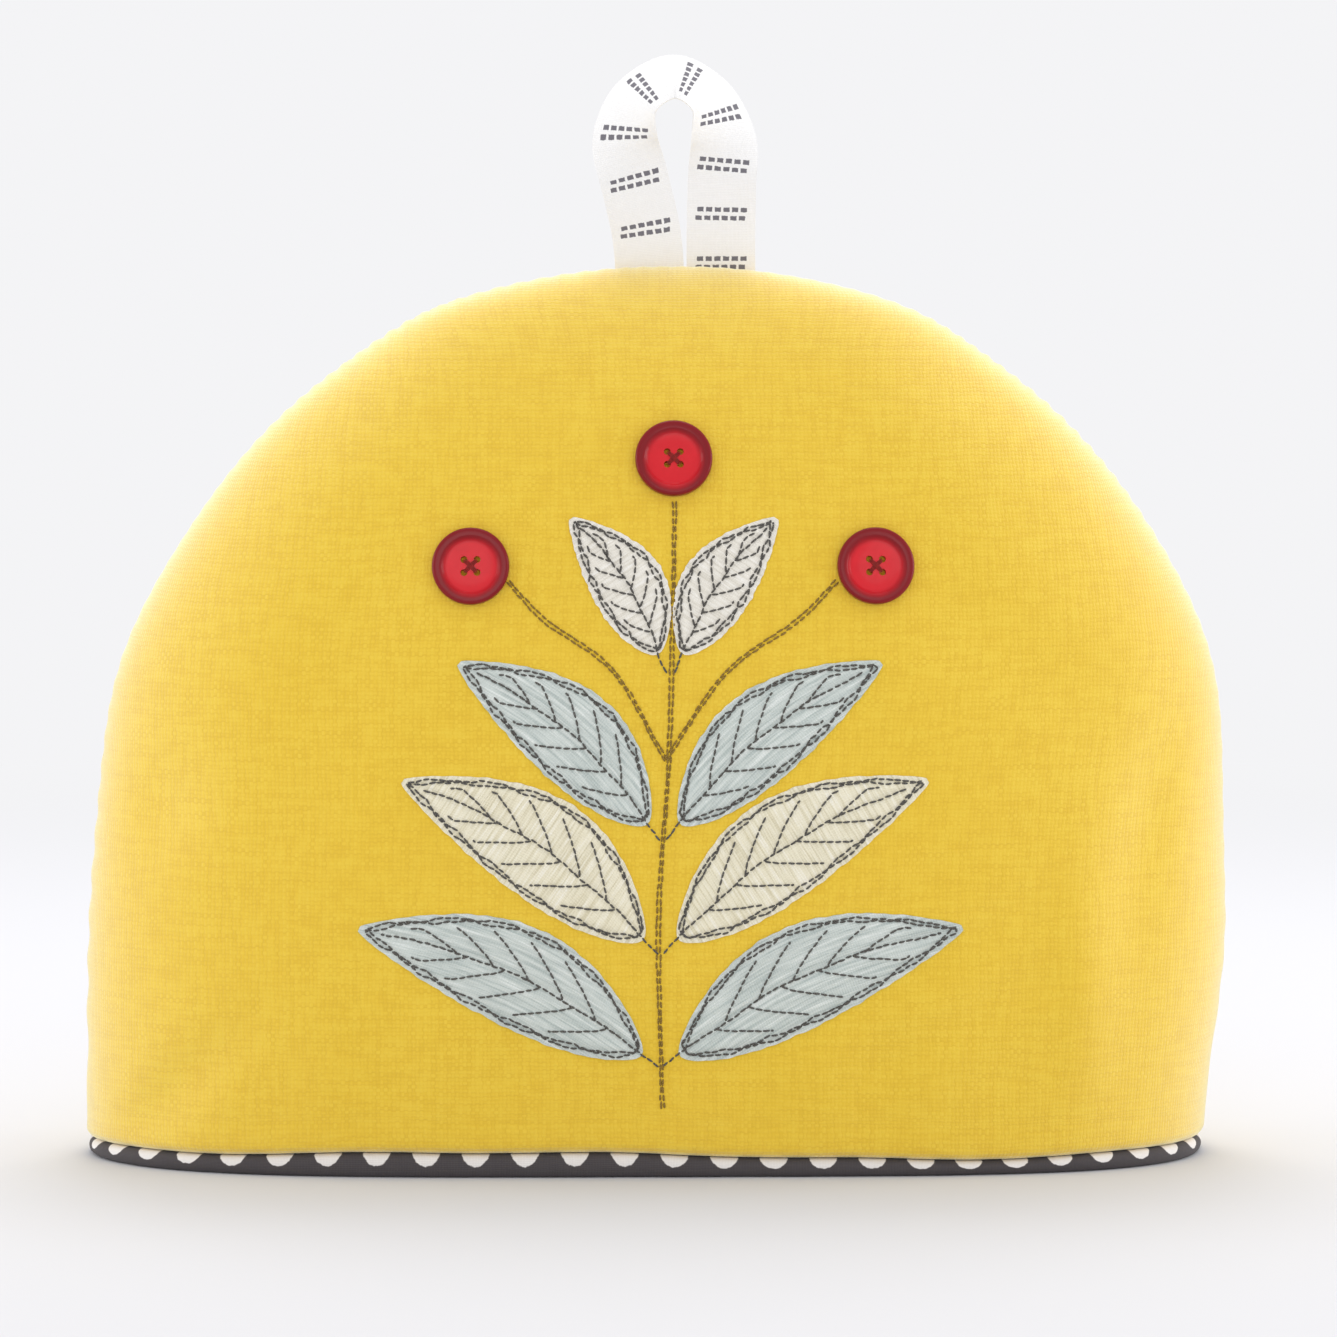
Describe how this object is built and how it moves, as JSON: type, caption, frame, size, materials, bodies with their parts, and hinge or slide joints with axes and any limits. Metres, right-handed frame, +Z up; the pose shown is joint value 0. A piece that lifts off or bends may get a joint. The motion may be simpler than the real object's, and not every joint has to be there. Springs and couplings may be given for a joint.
{
  "type": "tea cosy",
  "caption": "Padded dome-shaped tea cosy, hollow and open at the hem, with a spotted rolled edge, a tape loop on top and an applique leaf sprig with red button berries.",
  "frame": {"origin": "centre of the bounding box, at the level of the surface the hem rests on", "axes": "+Z up, the decorated front faces -Y, +X to the right as seen from the front along the arched seam"},
  "size_m": [0.3407, 0.1135, 0.3294],
  "materials": {
    "yellow_cloth": "soft woven yellow wool cloth over wadding",
    "spotted_lining": "dark cotton with evenly spaced white spots",
    "white_tape": "white woven cotton tape with plain rows of short dark dashes",
    "blue_cloth": "pale grey-blue slubbed linen, raw edged",
    "cream_cloth": "cream slubbed linen, raw edged",
    "white_cloth": "white cotton, raw edged",
    "red_button": "glossy red button"
  },
  "bodies": {
    "root": {"front_panel": "yellow_cloth", "back_panel": "yellow_cloth", "lining_front": "spotted_lining", "lining_back": "spotted_lining", "hanging_loop": "white_tape", "leaf_1_left": "blue_cloth", "leaf_1_right": "blue_cloth", "leaf_2_left": "cream_cloth", "leaf_2_right": "cream_cloth", "leaf_3_left": "blue_cloth", "leaf_3_right": "blue_cloth", "leaf_4_left": "white_cloth", "leaf_4_right": "white_cloth", "button_1": "red_button", "button_2": "red_button", "button_3": "red_button"}
  },
  "joints": []
}
